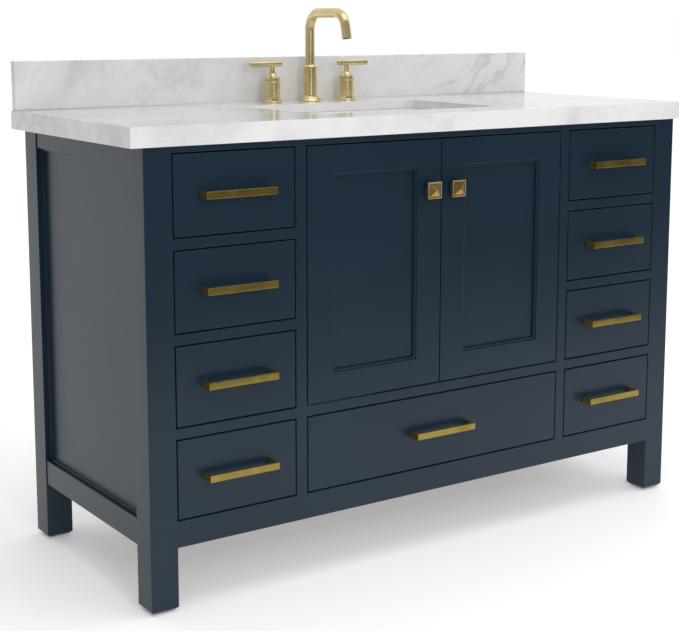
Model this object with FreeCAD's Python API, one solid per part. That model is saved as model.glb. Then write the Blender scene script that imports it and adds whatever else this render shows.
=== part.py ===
import FreeCAD, Part
import math
import os
from itertools import pairwise

# Bathroom vanity cabinet: a painted wooden carcass on four square legs, with four drawers in each side
# column, a wide drawer under a pair of shaker doors, and a marble top that carries an undermount basin
# and a widespread faucet.
#
# Millimetres. +Z is up, the front faces -Y, and the origin is on the floor under the middle of the
# bounding box. Left and right are as seen by a person who stands in front of the cabinet.

V = FreeCAD.Vector
X_AXIS = V(1, 0, 0)
Y_AXIS = V(0, 1, 0)
Z_AXIS = V(0, 0, 1)

# ---- Driving dimensions ----
TOTAL_HEIGHT = 914.4          # floor to the face of the marble
TOP_WIDTH = 1397.0
TOP_DEPTH = 558.8
SLAB = 19.05                  # thickness of the marble slab
TOP_EDGE = 38.1               # height of its built-up front and side edges
TOP_FRONT_OVERHANG = 4.0
CABINET_WIDTH = 1346.0
CABINET_DEPTH = 546.0
LEG = 57.0                    # side of the square leg
FOOT_CHAMFER = 7.0
GLIDE_RADIUS = 15.0
GLIDE_HEIGHT = 3.0

FRAME = 20.0                  # thickness of the face frame
BOTTOM_RAIL_Z = 123.5
BOTTOM_RAIL = 52.0
OPENING = 156.6               # height of a drawer opening
DIVIDER = 20.8                # height of the rail between two drawers
DRAWERS_PER_COLUMN = 4
MULLION_INNER = 328.3         # middle of the cabinet to the door opening's side
MULLION = 24.4
SIDE_RAIL = 24.0              # thickness of the side rails
SIDE_TOP_RAIL = 36.0          # height of the side top rail
SIDE_RAIL_SETBACK = 2.0       # side rails, behind the legs' outer faces
SIDE_RECESS = 15.0            # side panel, behind the legs' outer faces
BOARD = 18.0                  # carcass boards
BACK_BOARD = 6.0
REAR_TOP_RAIL = 100.0
FRONT_BATTEN = 60.0
REAR_BATTEN = 30.0
PLUMBING_HALF_WIDTH = 200.0
PLUMBING_Z = 400.0

FRONT_GAP = 2.5               # reveal round the inset fronts
FRONT_THICK = 19.0
DOOR_STILE = 60.0
DOOR_RAIL = 56.0
PANEL_RECESS = 8.5
PANEL_THICK = 6.5
BEAD = 5.0

BOX_DEPTH = 450.0             # drawer boxes
BOX_HEIGHT = 110.0
BOX_WALL = 12.0
BOX_BOTTOM = 6.0
BOX_LIFT = 12.0               # bottom of the box, above the bottom of its opening
SLIDE_SPACE = 12.7            # room for a slide beside the box
TRACK_HEIGHT = 35.0
TRACK_LENGTH = 480.0
TRACK_STEEL = 2.0
TRACK_LIFT = 20.0             # bottom of the track, above the bottom of the box
TRACK_CLEARANCE = 0.5

PULL_LENGTH = 151.0
PULL_HEIGHT = 14.0
PULL_BAR = 6.5
PULL_PROJECTION = 28.0
KNOB = 34.0                   # side of the square knob
KNOB_DROP = 102.0             # knob's centre, below the top of the door
KNOB_STEM_RADIUS = 6.5
KNOB_STEM = 13.0
KNOB_PLATE = 5.0
KNOB_POINT = 8.0
KNOB_BORDER = 2.5

HINGE_CUP_RADIUS = 17.5
HINGE_CUP_DEPTH = 11.0
HINGE_SETBACK = 22.5          # centre of the cup, from the door's outer edge
HINGE_FROM_END = 90.0
HINGE_FLANGE = 1.5

SPLASH_WIDTH = 1391.0
SPLASH_HEIGHT = 101.6
CUTOUT_WIDTH = 465.0
CUTOUT_DEPTH = 305.0
CUTOUT_FROM_FRONT = 110.0
CUTOUT_RADIUS = 18.0
BASIN_REVEAL = 4.0            # basin mouth, outside the cut-out
BASIN_FLANGE = 20.0
BASIN_WALL = 8.0
BASIN_DEPTH = 140.0
BASIN_TAPER = 22.0
BASIN_MOUTH_RADIUS = 24.0
BASIN_FLOOR_RADIUS = 40.0
BASIN_FILLET = 24.0

DRAIN_FLANGE_RADIUS = 24.0
DRAIN_BODY_RADIUS = 20.0
DRAIN_BORE_RADIUS = 15.0
TAILPIECE_RADIUS = 15.875
TAILPIECE_BORE_RADIUS = 14.6
TAILPIECE_LENGTH = 130.0
STOPPER_RADIUS = 20.0

FAUCET_FROM_SPLASH = 44.0
HANDLE_SPACING = 101.6        # spout to handle
SPOUT_HEIGHT = 212.0
SPOUT_REACH = 150.0
SPOUT_OUTLET = 145.0          # outlet, above the top
SPOUT_TUBE_RADIUS = 11.0
SPOUT_BEND = 38.0
SPOUT_LEAN = math.radians(12)  # outlet leg, from the vertical
AERATOR_SETBACK = 1.0
AERATOR_DEPTH = 6.0
SPOUT_BODY_RADIUS = 16.0
SPOUT_BODY = 84.0
SPOUT_SHOULDER = 5.0
SPOUT_FOOT_RADIUS = 24.5
SPOUT_FLARE = 16.0             # height of the flared foot
HANDLE_BODY_RADIUS = 17.5
HANDLE_BODY = 51.0
HANDLE_FOOT_RADIUS = 22.0
HANDLE_FLARE = 11.0
LEVER_HEIGHT = 87.0
LEVER_RADIUS = 6.0
LEVER_OUT = 59.0
LEVER_IN = 25.0
LEVER_RING = 5.0
LEVER_CONE = 11.0
SHANK_RADIUS = 10.45
SHANK_LENGTH = 45.0
TURN_CLEARANCE = 0.4

WALL_SCREW_SPACING = 406.4
WALL_SCREW_RADIUS = 2.75
WALL_SCREW_Z = 836.0

# ---- Derived places ----
FRONT = (PULL_PROJECTION - (TOP_DEPTH - TOP_FRONT_OVERHANG)) / 2
BACK = FRONT + CABINET_DEPTH
TOP_FRONT = FRONT - TOP_FRONT_OVERHANG
TOP_BACK = TOP_FRONT + TOP_DEPTH
HALF = CABINET_WIDTH / 2
LEG_INNER = HALF - LEG
CABINET_HEIGHT = TOTAL_HEIGHT - TOP_EDGE
SLAB_UNDER = TOTAL_HEIGHT - SLAB
OPENING_Z = BOTTOM_RAIL_Z + BOTTOM_RAIL
PITCH = OPENING + DIVIDER
OPENINGS_TOP = OPENING_Z + DRAWERS_PER_COLUMN * PITCH - DIVIDER
DOOR_Z = OPENING_Z + PITCH
MULLION_OUTER = MULLION_INNER + MULLION
PARTITION_INNER = MULLION_INNER + (MULLION - BOARD) / 2
PARTITION_OUTER = PARTITION_INNER + BOARD
BASIN_Y = TOP_FRONT + CUTOUT_FROM_FRONT + CUTOUT_DEPTH / 2
BASIN_FLOOR = SLAB_UNDER - BASIN_DEPTH
FAUCET_Y = TOP_BACK - SLAB - FAUCET_FROM_SPLASH


def block(x0, x1, y0, y1, z0, z1):
    """Box between two corners, given in any order along X."""
    low, high = min(x0, x1), max(x0, x1)
    return Part.makeBox(high - low, y1 - y0, z1 - z0, V(low, y0, z0))


def rod(radius, length, start, axis=Z_AXIS):
    return Part.makeCylinder(radius, length, start, axis)


def group(solids):
    """Separate solids of one node."""
    return Part.makeCompound(solids)


def turned(profile, centre):
    """Solid of revolution about a vertical axis through centre, from (radius, height) points."""
    points = [V(centre.x + r, centre.y, centre.z + h) for r, h in profile]
    face = Part.Face(Part.makePolygon(points + points[:1]))
    return face.revolve(centre, Z_AXIS, 360)


def rounded_rectangle(width, depth, radius, centre):
    """Wire of a rectangle with arcs at its corners, in a level plane."""
    hx, hy = width / 2, depth / 2
    diagonal = radius * (1 - math.sqrt(0.5))
    edges = []
    ends = []
    for sx, sy in ((1, -1), (1, 1), (-1, 1), (-1, -1)):
        on_side = V(sx * hx, sy * (hy - radius), 0)
        on_end = V(sx * (hx - radius), sy * hy, 0)
        middle = V(sx * (hx - diagonal), sy * (hy - diagonal), 0)
        first, last = (on_end, on_side) if sx * sy < 0 else (on_side, on_end)
        ends.append((first, middle, last))
    for index, (first, middle, last) in enumerate(ends):
        edges.append(Part.Arc(centre + first, centre + middle, centre + last).toShape())
        following = ends[(index + 1) % len(ends)][0]
        edges.append(Part.LineSegment(centre + last, centre + following).toShape())
    return Part.Wire(edges)


def frame_of_strips(x0, x1, z0, z1, width, y0, y1):
    """Two full-height uprights and the two strips between them."""
    return [
        block(x0, x0 + width, y0, y1, z0, z1),
        block(x1 - width, x1, y0, y1, z0, z1),
        block(x0 + width, x1 - width, y0, y1, z0, z0 + width),
        block(x0 + width, x1 - width, y0, y1, z1 - width, z1),
    ]


# ---- Carcass ----
def leg(side, front_y):
    """Square post from the glide to the top, with a chamfered foot."""
    x0 = side * HALF
    x1 = side * LEG_INNER
    post = block(x0, x1, front_y, front_y + LEG, GLIDE_HEIGHT, CABINET_HEIGHT)
    foot = [edge for edge in post.Edges if edge.BoundBox.ZMax < GLIDE_HEIGHT + 1]
    return post.makeChamfer(FOOT_CHAMFER, foot)


def glides():
    places = [(side * (HALF - LEG / 2), y + LEG / 2) for side in (-1, 1) for y in (FRONT, BACK - LEG)]
    return group([rod(GLIDE_RADIUS, GLIDE_HEIGHT, V(x, y, 0)) for x, y in places])


def front_rails():
    """Bottom rail, top rail and the stretcher behind the top rail."""
    return group([
        block(-LEG_INNER, LEG_INNER, FRONT, FRONT + FRAME, BOTTOM_RAIL_Z, OPENING_Z),
        block(-LEG_INNER, LEG_INNER, FRONT, FRONT + FRAME, OPENINGS_TOP, CABINET_HEIGHT),
        block(-PARTITION_INNER, PARTITION_INNER, FRONT + FRAME, FRONT + FRAME + 60,
              CABINET_HEIGHT - BOARD, CABINET_HEIGHT),
    ])


def frame_dividers():
    """Mullions beside the doors, and the rails between openings."""
    back = FRONT + FRAME
    solids = []
    for side in (-1, 1):
        solids.append(block(side * MULLION_INNER, side * MULLION_OUTER, FRONT, back, OPENING_Z, OPENINGS_TOP))
        for row in range(1, DRAWERS_PER_COLUMN):
            top = OPENING_Z + row * PITCH
            solids.append(block(side * MULLION_OUTER, side * LEG_INNER, FRONT, back, top - DIVIDER, top))
    solids.append(block(-MULLION_INNER, MULLION_INNER, FRONT, back, DOOR_Z - DIVIDER, DOOR_Z))
    return group(solids)


def side_rails():
    solids = []
    for side in (-1, 1):
        x0, x1 = side * (HALF - SIDE_RAIL_SETBACK), side * (HALF - SIDE_RAIL)
        y0, y1 = FRONT + LEG, BACK - LEG
        solids.append(block(x0, x1, y0, y1, BOTTOM_RAIL_Z, OPENING_Z))
        solids.append(block(x0, x1, y0, y1, CABINET_HEIGHT - SIDE_TOP_RAIL, CABINET_HEIGHT))
    return group(solids)


def side_panel(side):
    """Recessed panel, with a bead on all four sides."""
    y0, y1 = FRONT + LEG, BACK - LEG
    z0, z1 = OPENING_Z, CABINET_HEIGHT - SIDE_TOP_RAIL
    face = side * (HALF - SIDE_RECESS)
    panel = block(face, side * (HALF - SIDE_RAIL), y0, y1, z0, z1)
    proud = face + side * BEAD
    beads = [
        block(face, proud, y0, y0 + BEAD, z0, z1),
        block(face, proud, y1 - BEAD, y1, z0, z1),
        block(face, proud, y0 + BEAD, y1 - BEAD, z0, z0 + BEAD),
        block(face, proud, y0 + BEAD, y1 - BEAD, z1 - BEAD, z1),
    ]
    return group([panel] + beads)


def rear_rails():
    """Rails between the rear legs; the upper one is drilled for screws into the wall."""
    y0 = BACK - BOARD
    top = block(-LEG_INNER, LEG_INNER, y0, BACK, CABINET_HEIGHT - REAR_TOP_RAIL, CABINET_HEIGHT)
    for side in (-1, 1):
        start = V(side * WALL_SCREW_SPACING / 2, y0 - 1, WALL_SCREW_Z)
        top = top.cut(rod(WALL_SCREW_RADIUS, BOARD + 2, start, Y_AXIS))
    bottom = block(-LEG_INNER, LEG_INNER, y0, BACK, BOTTOM_RAIL_Z, OPENING_Z)
    return group([top, bottom])


def back_boards():
    """Two tall boards and a low one, which leave the middle open for the plumbing."""
    y1 = BACK - BOARD
    y0 = y1 - BACK_BOARD
    z0 = BOTTOM_RAIL_Z + BOARD + 2
    return group([
        block(-LEG_INNER, -PLUMBING_HALF_WIDTH, y0, y1, z0, CABINET_HEIGHT),
        block(PLUMBING_HALF_WIDTH, LEG_INNER, y0, y1, z0, CABINET_HEIGHT),
        block(-PLUMBING_HALF_WIDTH, PLUMBING_HALF_WIDTH, y0, y1, z0, PLUMBING_Z),
    ])


def bottom_panel():
    """Cabinet floor behind the bottom rail, notched round the legs."""
    edge = HALF - SIDE_RAIL
    z0, z1 = BOTTOM_RAIL_Z + 2, BOTTOM_RAIL_Z + 2 + BOARD
    middle = block(-LEG_INNER, LEG_INNER, FRONT + FRAME, BACK - BOARD, z0, z1)
    wings = [block(side * LEG_INNER, side * edge, FRONT + LEG, BACK - LEG, z0, z1) for side in (-1, 1)]
    return middle.fuse(wings).removeSplitter()


def partitions():
    z0 = BOTTOM_RAIL_Z + 2 + BOARD
    y1 = BACK - BOARD - BACK_BOARD
    return group([
        block(side * PARTITION_INNER, side * PARTITION_OUTER, FRONT + FRAME, y1, z0, CABINET_HEIGHT)
        for side in (-1, 1)
    ])


def compartment_floor():
    z1 = DOOR_Z - 1
    y1 = BACK - BOARD - BACK_BOARD
    return block(-PARTITION_INNER, PARTITION_INNER, FRONT + FRAME, y1, z1 - BOARD, z1)


def top_battens():
    """Battens that fill the height of the built-up edge between the carcass and the slab."""
    z0, z1 = CABINET_HEIGHT, SLAB_UNDER
    front0 = TOP_FRONT + SLAB + 1
    front1 = front0 + FRONT_BATTEN
    rear0 = BACK - REAR_BATTEN
    solids = [
        block(-HALF, HALF, front0, front1, z0, z1),
        block(-HALF, HALF, rear0, BACK, z0, z1),
    ]
    for side in (-1, 1):
        solids.append(block(side * HALF, side * LEG_INNER, front1, rear0, z0, z1))
        solids.append(block(side * PARTITION_INNER, side * PARTITION_OUTER, front1, rear0, z0, z1))
    return group(solids)


# ---- Drawers ----
def drawer_front(x0, x1, z0):
    a, b = x0 + FRONT_GAP, x1 - FRONT_GAP
    return block(a, b, FRONT, FRONT + FRONT_THICK, z0 + FRONT_GAP, z0 + OPENING - FRONT_GAP)


def drawer_box(x0, x1, z0):
    """Two sides, an inner front, a back and a bottom between them."""
    a, b = x0 + SLIDE_SPACE, x1 - SLIDE_SPACE
    y0 = FRONT + FRONT_THICK
    y1 = y0 + BOX_DEPTH
    low = z0 + BOX_LIFT
    high = low + BOX_HEIGHT
    return group([
        block(a, a + BOX_WALL, y0, y1, low, high),
        block(b - BOX_WALL, b, y0, y1, low, high),
        block(a + BOX_WALL, b - BOX_WALL, y0, y0 + BOX_WALL, low, high),
        block(a + BOX_WALL, b - BOX_WALL, y1 - BOX_WALL, y1, low, high),
        block(a + BOX_WALL, b - BOX_WALL, y0 + BOX_WALL, y1 - BOX_WALL,
              low + BOX_WALL - BOX_BOTTOM, low + BOX_WALL),
    ])


def pull(x0, x1, z0):
    """Flat bar on two legs, centred on its drawer front."""
    x, z = (x0 + x1) / 2, z0 + OPENING / 2
    a, b = x - PULL_LENGTH / 2, x + PULL_LENGTH / 2
    low, high = z - PULL_HEIGHT / 2, z + PULL_HEIGHT / 2
    bar_front = FRONT - PULL_PROJECTION
    bar_back = bar_front + PULL_BAR
    return group([
        block(a, b, bar_front, bar_back, low, high),
        block(a, a + PULL_BAR, bar_back, FRONT, low, high),
        block(b - PULL_BAR, b, bar_back, FRONT, low, high),
    ])


def slide_reach(wall_x):
    """Distance from the surface that a track is fixed to, to the side of the drawer box."""
    if abs(abs(wall_x) - LEG_INNER) < 1e-6:
        return SLIDE_SPACE
    if abs(abs(wall_x) - PARTITION_OUTER) < 1e-6:
        return MULLION_OUTER + SLIDE_SPACE - PARTITION_OUTER
    return PARTITION_INNER - MULLION_INNER + SLIDE_SPACE


def track(wall_x, toward, z0):
    """Channel of a drawer slide: its web is on wall_x, and it opens toward the drawer (-1 or 1)."""
    edge = wall_x + toward * (slide_reach(wall_x) - TRACK_CLEARANCE)
    y0 = FRONT + FRAME
    y1 = y0 + TRACK_LENGTH
    low = z0 + BOX_LIFT + TRACK_LIFT
    high = low + TRACK_HEIGHT
    channel = block(wall_x, edge, y0, y1, low, high)
    hollow = block(wall_x + toward * TRACK_STEEL, edge + toward, y0 - 1, y1 + 1,
                   low + TRACK_STEEL, high - TRACK_STEEL)
    return channel.cut(hollow)


def slide_tracks():
    solids = []
    for row in range(DRAWERS_PER_COLUMN):
        z0 = OPENING_Z + row * PITCH
        for side in (-1, 1):
            solids.append(track(side * LEG_INNER, -side, z0))
            solids.append(track(side * PARTITION_OUTER, side, z0))
    for side in (-1, 1):
        solids.append(track(side * PARTITION_INNER, -side, OPENING_Z))
    return group(solids)


# ---- Doors ----
def door_span(side):
    """The door's outer and inner edge."""
    return side * (MULLION_INNER - FRONT_GAP), side * FRONT_GAP / 2


def door_heights():
    return DOOR_Z + FRONT_GAP, OPENINGS_TOP - FRONT_GAP


def hinge_centres(side):
    outer, _ = door_span(side)
    z0, z1 = door_heights()
    x = outer - side * HINGE_SETBACK
    return [V(x, FRONT + FRONT_THICK, z) for z in (z0 + HINGE_FROM_END, z1 - HINGE_FROM_END)]


def door_frame(side):
    """Stiles bored for the hinge cups, rails, and a bead round the panel."""
    x0, x1 = sorted(door_span(side))
    z0, z1 = door_heights()
    y1 = FRONT + FRONT_THICK
    stiles = [
        block(x0, x0 + DOOR_STILE, FRONT, y1, z0, z1),
        block(x1 - DOOR_STILE, x1, FRONT, y1, z0, z1),
    ]
    hinge_stile = 0 if side < 0 else 1
    for centre in hinge_centres(side):
        start = centre - Y_AXIS * HINGE_CUP_DEPTH
        bore = rod(HINGE_CUP_RADIUS, HINGE_CUP_DEPTH + 1, start, Y_AXIS)
        stiles[hinge_stile] = stiles[hinge_stile].cut(bore)
    rails = [
        block(x0 + DOOR_STILE, x1 - DOOR_STILE, FRONT, y1, z0, z0 + DOOR_RAIL),
        block(x0 + DOOR_STILE, x1 - DOOR_STILE, FRONT, y1, z1 - DOOR_RAIL, z1),
    ]
    beads = frame_of_strips(x0 + DOOR_STILE, x1 - DOOR_STILE, z0 + DOOR_RAIL, z1 - DOOR_RAIL, BEAD,
                            FRONT + PANEL_RECESS - BEAD, FRONT + PANEL_RECESS)
    return group(stiles + rails + beads)


def door_panel(side):
    x0, x1 = sorted(door_span(side))
    z0, z1 = door_heights()
    y0 = FRONT + PANEL_RECESS
    return block(x0 + DOOR_STILE, x1 - DOOR_STILE, y0, y0 + PANEL_THICK, z0 + DOOR_RAIL, z1 - DOOR_RAIL)


def knob(side):
    """Round stem, square plate and a low four-sided point."""
    _, inner = door_span(side)
    x = inner + side * DOOR_STILE / 2
    z = door_heights()[1] - KNOB_DROP
    half = KNOB / 2
    stem = rod(KNOB_STEM_RADIUS, KNOB_STEM, V(x, FRONT, z), -Y_AXIS)
    plate_back = FRONT - KNOB_STEM
    plate_front = plate_back - KNOB_PLATE
    plate = block(x - half, x + half, plate_front, plate_back, z - half, z + half)
    inset = half - KNOB_BORDER
    signs = ((-1, -1), (1, -1), (1, 1), (-1, 1))
    corners = [V(x + sx * inset, plate_front, z + sz * inset) for sx, sz in signs]
    tip = V(x, plate_front - KNOB_POINT, z)
    faces = [Part.Face(Part.makePolygon(corners + corners[:1]))]
    for index, corner in enumerate(corners):
        following = corners[(index + 1) % len(corners)]
        faces.append(Part.Face(Part.makePolygon([corner, following, tip, corner])))
    return group([stem, plate, Part.Solid(Part.Shell(faces))])


def door_hinges(side):
    """Cups in the stile, each with its flange and a small boss behind the door."""
    solids = []
    for centre in hinge_centres(side):
        cup = rod(HINGE_CUP_RADIUS, HINGE_CUP_DEPTH, centre - Y_AXIS * HINGE_CUP_DEPTH, Y_AXIS)
        flange = block(centre.x - 12, centre.x + 12, centre.y, centre.y + HINGE_FLANGE,
                       centre.z - 27, centre.z + 27)
        solids.append(cup.fuse(flange).removeSplitter())
    return group(solids)


def hinge_plates():
    """Mounting plates on the partitions, with arms that reach forward to the cups."""
    solids = []
    for side in (-1, 1):
        wall = side * PARTITION_INNER
        for centre in hinge_centres(side):
            y0 = FRONT + FRONT_THICK + HINGE_FLANGE + 1.5
            plate = block(wall, wall - side * 6, y0 + 12, y0 + 62, centre.z - 25, centre.z + 25)
            arm = block(wall - side * 6, wall - side * 20, y0, y0 + 58, centre.z - 9, centre.z + 9)
            solids.append(plate)
            solids.append(arm)
    return group(solids)


# ---- Top ----
def countertop():
    """Slab with built-up front and side edges, the basin cut-out and three faucet holes."""
    half = TOP_WIDTH / 2
    edge_z = TOTAL_HEIGHT - TOP_EDGE
    body = block(-half, half, TOP_FRONT, TOP_BACK, edge_z, TOTAL_HEIGHT)
    under = block(-half + SLAB, half - SLAB, TOP_FRONT + SLAB, TOP_BACK + 1, edge_z - 1, SLAB_UNDER)
    body = body.cut(under)
    centre = V(0, BASIN_Y, SLAB_UNDER - 1)
    mouth = Part.Face(rounded_rectangle(CUTOUT_WIDTH, CUTOUT_DEPTH, CUTOUT_RADIUS, centre))
    body = body.cut(mouth.extrude(V(0, 0, SLAB + 2)))
    for place in (-1, 0, 1):
        start = V(place * HANDLE_SPACING, FAUCET_Y, SLAB_UNDER - 1)
        body = body.cut(rod(SHANK_RADIUS + 3, SLAB + 2, start))
    return body


def backsplash():
    half = SPLASH_WIDTH / 2
    return block(-half, half, TOP_BACK - SLAB, TOP_BACK, TOTAL_HEIGHT, TOTAL_HEIGHT + SPLASH_HEIGHT)


def bowl(grow):
    """Tapered bowl volume, larger by grow on its sides and its floor."""
    width = CUTOUT_WIDTH + 2 * (BASIN_REVEAL + grow)
    depth = CUTOUT_DEPTH + 2 * (BASIN_REVEAL + grow)
    floor = V(0, BASIN_Y, BASIN_FLOOR - grow)
    mouth = V(0, BASIN_Y, SLAB_UNDER)
    wires = [
        rounded_rectangle(width - 2 * BASIN_TAPER, depth - 2 * BASIN_TAPER, BASIN_FLOOR_RADIUS + grow, floor),
        rounded_rectangle(width, depth, BASIN_MOUTH_RADIUS + grow, mouth),
    ]
    solid = Part.makeLoft(wires, True, True)
    low_edges = [edge for edge in solid.Edges if edge.BoundBox.ZMax < floor.z + 1]
    return solid.makeFillet(BASIN_FILLET + grow, low_edges)


def sink_basin():
    """Ceramic bowl hung from a flange under the slab, with a drain hole in its floor.

    The shell is divided along its fillet's edges and its middle into simple blocks that touch face to face.
    """
    outer = bowl(BASIN_WALL)
    width = CUTOUT_WIDTH + 2 * (BASIN_REVEAL + BASIN_FLANGE)
    depth = CUTOUT_DEPTH + 2 * (BASIN_REVEAL + BASIN_FLANGE)
    low = V(0, BASIN_Y, SLAB_UNDER - BASIN_WALL - 4)
    flange = Part.Face(rounded_rectangle(width, depth, BASIN_MOUTH_RADIUS + BASIN_FLANGE, low))
    shell = outer.fuse(flange.extrude(V(0, 0, BASIN_WALL + 4)))
    shell = shell.cut(bowl(0))
    drain = rod(DRAIN_BODY_RADIUS, 2 * BASIN_WALL + 2, V(0, BASIN_Y, BASIN_FLOOR - 2 * BASIN_WALL))
    shell = shell.cut(drain)
    inset = BASIN_REVEAL - BASIN_TAPER - BASIN_FILLET
    flat_x, flat_y = CUTOUT_WIDTH / 2 + inset, CUTOUT_DEPTH / 2 + inset
    levels = (BASIN_FLOOR - 2 * BASIN_WALL, BASIN_FLOOR + BASIN_FILLET, SLAB_UNDER)
    blocks = []
    for x0, x1 in pairwise((-width, -flat_x, 0, flat_x, width)):
        for y0, y1 in pairwise((-depth, -flat_y, 0, flat_y, depth)):
            for z0, z1 in pairwise(levels):
                blocks += shell.common(block(x0, x1, BASIN_Y + y0, BASIN_Y + y1, z0, z1)).Solids
    return group(blocks)


def drain_body():
    """Flange in the basin, threaded body below it and a tailpiece for the trap."""
    z = BASIN_FLOOR
    body_end = z - 50
    tail_end = body_end - TAILPIECE_LENGTH
    outline = [
        (DRAIN_BORE_RADIUS, z - 3), (DRAIN_BORE_RADIUS + 3, z), (DRAIN_BORE_RADIUS + 3, z + 2),
        (DRAIN_FLANGE_RADIUS - 1, z + 2), (DRAIN_FLANGE_RADIUS, z), (DRAIN_BODY_RADIUS, z),
        (DRAIN_BODY_RADIUS, z - BASIN_WALL), (DRAIN_BODY_RADIUS + 8, z - BASIN_WALL),
        (DRAIN_BODY_RADIUS + 8, z - BASIN_WALL - 9), (DRAIN_BODY_RADIUS, z - BASIN_WALL - 9),
        (DRAIN_BODY_RADIUS, body_end), (TAILPIECE_RADIUS, body_end), (TAILPIECE_RADIUS, tail_end),
        (TAILPIECE_BORE_RADIUS, tail_end), (TAILPIECE_BORE_RADIUS, body_end), (DRAIN_BORE_RADIUS, body_end),
    ]
    return turned(outline, V(0, BASIN_Y, 0))


def drain_stopper():
    """Domed plug on a stem; it rises to open."""
    z = BASIN_FLOOR + 2 + TURN_CLEARANCE
    outline = [
        (0, z - 30), (4, z - 30), (4, z), (STOPPER_RADIUS - 1, z), (STOPPER_RADIUS, z + 1),
        (STOPPER_RADIUS - 1, z + 3), (12, z + 4.2), (0, z + 4.8),
    ]
    return turned(outline, V(0, BASIN_Y, 0))


# ---- Faucet ----
def faucet_bases():
    """Spout body and two valve bodies, each with its flange, shank and nut under the slab."""
    z = TOTAL_HEIGHT
    shank_end = SLAB_UNDER - SHANK_LENGTH
    nut = 8
    below = [(0, shank_end), (SHANK_RADIUS, shank_end), (SHANK_RADIUS, SLAB_UNDER - nut),
             (SHANK_RADIUS + 6, SLAB_UNDER - nut), (SHANK_RADIUS + 6, SLAB_UNDER), (SHANK_RADIUS, SLAB_UNDER),
             (SHANK_RADIUS, z)]
    valve = below + [
        (HANDLE_FOOT_RADIUS, z), (HANDLE_FOOT_RADIUS, z + 3),
        (HANDLE_BODY_RADIUS + 1, z + HANDLE_FLARE - 1.5), (HANDLE_BODY_RADIUS, z + HANDLE_FLARE),
        (HANDLE_BODY_RADIUS, z + HANDLE_BODY - 1), (HANDLE_BODY_RADIUS - 1, z + HANDLE_BODY),
        (0, z + HANDLE_BODY),
    ]
    spout_body = below + [
        (SPOUT_FOOT_RADIUS, z), (SPOUT_FOOT_RADIUS, z + 2.5),
        (SPOUT_BODY_RADIUS + 1.5, z + SPOUT_FLARE - 3), (SPOUT_BODY_RADIUS, z + SPOUT_FLARE),
        (SPOUT_BODY_RADIUS, z + SPOUT_BODY - SPOUT_SHOULDER), (SPOUT_TUBE_RADIUS + 1, z + SPOUT_BODY),
        (0, z + SPOUT_BODY),
    ]
    return group([
        turned(valve, V(-HANDLE_SPACING, FAUCET_Y, 0)),
        turned(spout_body, V(0, FAUCET_Y, 0)),
        turned(valve, V(HANDLE_SPACING, FAUCET_Y, 0)),
    ])


def spout():
    """Tube that rises, crosses forward and turns down at a slight lean, and the aerator in its end."""
    base = TOTAL_HEIGHT + SPOUT_BODY + TURN_CLEARANCE
    top = TOTAL_HEIGHT + SPOUT_HEIGHT - SPOUT_TUBE_RADIUS
    r = SPOUT_BEND
    corner = r * (1 - math.sqrt(0.5))
    turn = math.pi / 2 - SPOUT_LEAN
    outlet = V(0, FAUCET_Y - SPOUT_REACH, TOTAL_HEIGHT + SPOUT_OUTLET)
    back_up = V(0, math.sin(SPOUT_LEAN), math.cos(SPOUT_LEAN))
    bend_end_z = top - r + r * math.cos(turn)
    bend_end = outlet + back_up * ((bend_end_z - outlet.z) / back_up.z)
    centre = V(0, bend_end.y + r * math.sin(turn), top - r)
    bend_middle = centre + V(0, -math.sin(turn / 2), math.cos(turn / 2)) * r
    path = Part.Wire([
        Part.LineSegment(V(0, FAUCET_Y, base), V(0, FAUCET_Y, top - r)).toShape(),
        Part.Arc(V(0, FAUCET_Y, top - r), V(0, FAUCET_Y - corner, top - corner),
                 V(0, FAUCET_Y - r, top)).toShape(),
        Part.LineSegment(V(0, FAUCET_Y - r, top), V(0, centre.y, top)).toShape(),
        Part.Arc(V(0, centre.y, top), bend_middle, bend_end).toShape(),
        Part.LineSegment(bend_end, outlet).toShape(),
    ])
    section = Part.Wire([Part.Circle(V(0, FAUCET_Y, base), Z_AXIS, SPOUT_TUBE_RADIUS).toShape()])
    tube = path.makePipeShell([section], True, False)
    bore = SPOUT_TUBE_RADIUS - 2
    socket = rod(bore, AERATOR_DEPTH + 1, outlet - back_up, back_up)
    aerator = rod(bore, AERATOR_DEPTH - AERATOR_SETBACK, outlet + back_up * AERATOR_SETBACK, back_up)
    return group([tube.cut(socket), aerator])


def lever(side):
    """Ring, neck and cross bar, whose longer end points outward."""
    x = side * HANDLE_SPACING
    z = TOTAL_HEIGHT
    low = HANDLE_BODY + TURN_CLEARANCE
    neck_top = LEVER_HEIGHT - LEVER_RADIUS + 2
    ring = low + LEVER_RING
    cone = ring + LEVER_CONE
    outline = [
        (0, z + low), (HANDLE_BODY_RADIUS - 1, z + low), (HANDLE_BODY_RADIUS, z + low + 1),
        (HANDLE_BODY_RADIUS, z + ring), (HANDLE_BODY_RADIUS - 2, z + ring + 1.5),
        (LEVER_RADIUS + 1, z + cone), (LEVER_RADIUS, z + cone + 2),
        (LEVER_RADIUS, z + neck_top), (0, z + neck_top),
    ]
    hub = turned(outline, V(x, FAUCET_Y, 0))
    start = V(x - side * LEVER_IN, FAUCET_Y, z + LEVER_HEIGHT)
    bar = rod(LEVER_RADIUS, LEVER_IN + LEVER_OUT, start, X_AXIS * side)
    return hub.fuse(bar).removeSplitter()


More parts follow.
